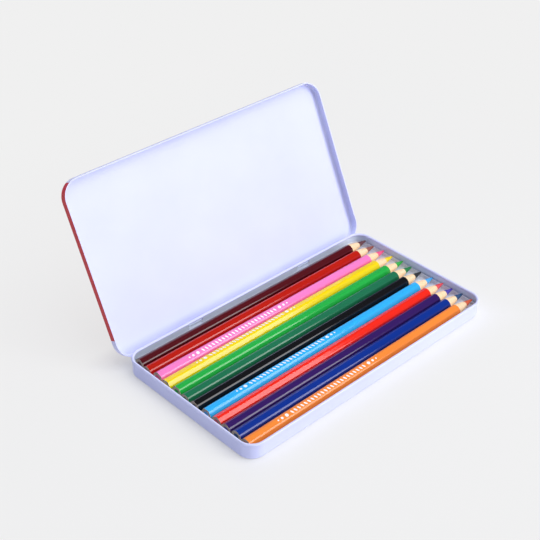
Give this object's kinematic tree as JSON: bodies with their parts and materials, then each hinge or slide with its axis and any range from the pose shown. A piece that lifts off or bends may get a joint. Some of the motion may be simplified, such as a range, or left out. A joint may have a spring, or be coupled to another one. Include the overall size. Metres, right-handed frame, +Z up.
{
  "type": "colored pencil box",
  "caption": "Flat hinged tinplate pencil case, lid standing open, holding a row of sharpened hexagonal colored pencils on a plastic liner.",
  "frame": {"origin": "centre of the base tray's flat underside", "axes": "+Z up, +X along the tray towards the pencil tips, +Y from the front towards the hinge"},
  "size_m": [0.185, 0.1449, 0.0963],
  "materials": {
    "base_lacquer": "gloss pale lavender lacquer on tinplate",
    "lid_lacquer": "gloss lacquer on tinplate, pale lavender inside and red outside",
    "pin_steel": "bright drawn wire",
    "liner_plastic": "satin white sheet",
    "maroon_painted_wood": "gloss lacquer on light wood, bare wood on the sharpened cone and cut end",
    "maroon_wax_core": "waxy pigment",
    "scarlet_painted_wood": "gloss lacquer on light wood, bare wood on the sharpened cone and cut end",
    "scarlet_wax_core": "waxy pigment",
    "pink_painted_wood": "gloss lacquer on light wood, bare wood on the sharpened cone and cut end",
    "pink_wax_core": "waxy pigment",
    "yellow_painted_wood": "gloss lacquer on light wood, bare wood on the sharpened cone and cut end",
    "yellow_wax_core": "waxy pigment",
    "green_painted_wood": "gloss lacquer on light wood, bare wood on the sharpened cone and cut end",
    "green_wax_core": "waxy pigment",
    "bottle_green_painted_wood": "gloss lacquer on light wood, bare wood on the sharpened cone and cut end",
    "bottle_green_wax_core": "waxy pigment",
    "black_painted_wood": "gloss lacquer on light wood, bare wood on the sharpened cone and cut end",
    "black_wax_core": "waxy pigment",
    "sky_blue_painted_wood": "gloss lacquer on light wood, bare wood on the sharpened cone and cut end",
    "sky_blue_wax_core": "waxy pigment",
    "red_painted_wood": "gloss lacquer on light wood, bare wood on the sharpened cone and cut end",
    "red_wax_core": "waxy pigment",
    "purple_painted_wood": "gloss lacquer on light wood, bare wood on the sharpened cone and cut end",
    "purple_wax_core": "waxy pigment",
    "navy_painted_wood": "gloss lacquer on light wood, bare wood on the sharpened cone and cut end",
    "navy_wax_core": "waxy pigment",
    "orange_painted_wood": "gloss lacquer on light wood, bare wood on the sharpened cone and cut end",
    "orange_wax_core": "waxy pigment"
  },
  "bodies": {
    "base": {"base_tray": "base_lacquer", "tray_liner": "liner_plastic"},
    "lid": {"lid": "lid_lacquer", "hinge_pin_left": "pin_steel", "hinge_pin_right": "pin_steel"},
    "maroon_pencil": {"maroon_pencil_upper_slat": "maroon_painted_wood", "maroon_pencil_lower_slat": "maroon_painted_wood", "maroon_pencil_core": "maroon_wax_core"},
    "scarlet_pencil": {"scarlet_pencil_upper_slat": "scarlet_painted_wood", "scarlet_pencil_lower_slat": "scarlet_painted_wood", "scarlet_pencil_core": "scarlet_wax_core"},
    "pink_pencil": {"pink_pencil_upper_slat": "pink_painted_wood", "pink_pencil_lower_slat": "pink_painted_wood", "pink_pencil_core": "pink_wax_core"},
    "yellow_pencil": {"yellow_pencil_upper_slat": "yellow_painted_wood", "yellow_pencil_lower_slat": "yellow_painted_wood", "yellow_pencil_core": "yellow_wax_core"},
    "green_pencil": {"green_pencil_upper_slat": "green_painted_wood", "green_pencil_lower_slat": "green_painted_wood", "green_pencil_core": "green_wax_core"},
    "bottle_green_pencil": {"bottle_green_pencil_upper_slat": "bottle_green_painted_wood", "bottle_green_pencil_lower_slat": "bottle_green_painted_wood", "bottle_green_pencil_core": "bottle_green_wax_core"},
    "black_pencil": {"black_pencil_upper_slat": "black_painted_wood", "black_pencil_lower_slat": "black_painted_wood", "black_pencil_core": "black_wax_core"},
    "sky_blue_pencil": {"sky_blue_pencil_upper_slat": "sky_blue_painted_wood", "sky_blue_pencil_lower_slat": "sky_blue_painted_wood", "sky_blue_pencil_core": "sky_blue_wax_core"},
    "red_pencil": {"red_pencil_upper_slat": "red_painted_wood", "red_pencil_lower_slat": "red_painted_wood", "red_pencil_core": "red_wax_core"},
    "purple_pencil": {"purple_pencil_upper_slat": "purple_painted_wood", "purple_pencil_lower_slat": "purple_painted_wood", "purple_pencil_core": "purple_wax_core"},
    "navy_pencil": {"navy_pencil_upper_slat": "navy_painted_wood", "navy_pencil_lower_slat": "navy_painted_wood", "navy_pencil_core": "navy_wax_core"},
    "orange_pencil": {"orange_pencil_upper_slat": "orange_painted_wood", "orange_pencil_lower_slat": "orange_painted_wood", "orange_pencil_core": "orange_wax_core"}
  },
  "joints": [
    {"name": "lid_hinge", "type": "hinge", "parent": "base", "child": "lid", "pos_m": [0, 0.04929, 0.00646], "axis": [-1, 0, 0], "range_deg": [-115.76, 0]},
    {"name": "maroon_pencil_lift", "type": "slide", "parent": "base", "child": "maroon_pencil", "axis": [0, 0, 1], "range_m": [0, 0.04]},
    {"name": "scarlet_pencil_lift", "type": "slide", "parent": "base", "child": "scarlet_pencil", "axis": [0, 0, 1], "range_m": [0, 0.04]},
    {"name": "pink_pencil_lift", "type": "slide", "parent": "base", "child": "pink_pencil", "axis": [0, 0, 1], "range_m": [0, 0.04]},
    {"name": "yellow_pencil_lift", "type": "slide", "parent": "base", "child": "yellow_pencil", "axis": [0, 0, 1], "range_m": [0, 0.04]},
    {"name": "green_pencil_lift", "type": "slide", "parent": "base", "child": "green_pencil", "axis": [0, 0, 1], "range_m": [0, 0.04]},
    {"name": "bottle_green_pencil_lift", "type": "slide", "parent": "base", "child": "bottle_green_pencil", "axis": [0, 0, 1], "range_m": [0, 0.04]},
    {"name": "black_pencil_lift", "type": "slide", "parent": "base", "child": "black_pencil", "axis": [0, 0, 1], "range_m": [0, 0.04]},
    {"name": "sky_blue_pencil_lift", "type": "slide", "parent": "base", "child": "sky_blue_pencil", "axis": [0, 0, 1], "range_m": [0, 0.04]},
    {"name": "red_pencil_lift", "type": "slide", "parent": "base", "child": "red_pencil", "axis": [0, 0, 1], "range_m": [0, 0.04]},
    {"name": "purple_pencil_lift", "type": "slide", "parent": "base", "child": "purple_pencil", "axis": [0, 0, 1], "range_m": [0, 0.04]},
    {"name": "navy_pencil_lift", "type": "slide", "parent": "base", "child": "navy_pencil", "axis": [0, 0, 1], "range_m": [0, 0.04]},
    {"name": "orange_pencil_lift", "type": "slide", "parent": "base", "child": "orange_pencil", "axis": [0, 0, 1], "range_m": [0, 0.04]}
  ]
}
